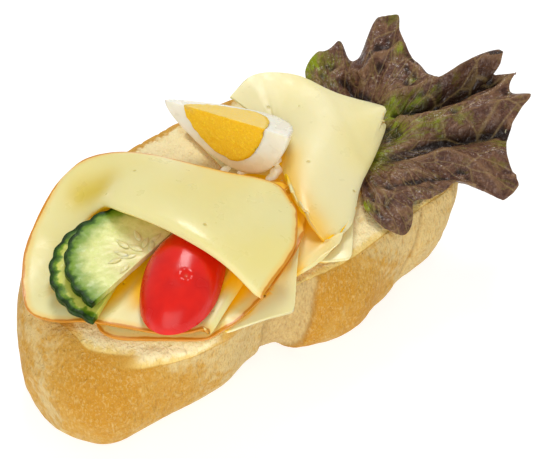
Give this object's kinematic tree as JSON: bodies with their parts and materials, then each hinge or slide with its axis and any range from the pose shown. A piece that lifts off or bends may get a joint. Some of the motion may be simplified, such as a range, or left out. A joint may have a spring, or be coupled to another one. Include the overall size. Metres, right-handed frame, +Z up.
{
  "type": "open sandwich",
  "caption": "Open sandwich on a halved scored roll, with draped and folded cheese slices, an egg wedge, cucumber, a tomato half and a red lettuce leaf fanned out at one end.",
  "frame": {"origin": "on the bread's flat underside, below the middle of the roll", "axes": "+Z up out of the cut face; +X along the roll, towards the lettuce; +Y across the roll, away from the scored side"},
  "size_m": [0.2033, 0.1111, 0.07],
  "materials": {
    "bread": "matte baked crust",
    "plain_cheese": "smooth, soft sheen",
    "smoked_cheese": "smooth, soft sheen",
    "egg_white": "smooth, soft sheen",
    "egg_yolk": "matte, crumbly",
    "cucumber": "wet",
    "tomato": "glossy skin",
    "lettuce": "crumpled, soft sheen"
  },
  "bodies": {
    "root": {"bread": "bread", "plain_slice_under": "plain_cheese", "plain_slice_folded": "plain_cheese", "plain_slice_front": "plain_cheese", "smoked_slice_under": "smoked_cheese", "smoked_slice_pocket": "smoked_cheese", "egg_white": "egg_white", "egg_yolk": "egg_yolk", "cucumber_back": "cucumber", "cucumber_front": "cucumber", "tomato_half": "tomato", "lettuce_leaf": "lettuce"}
  },
  "joints": []
}
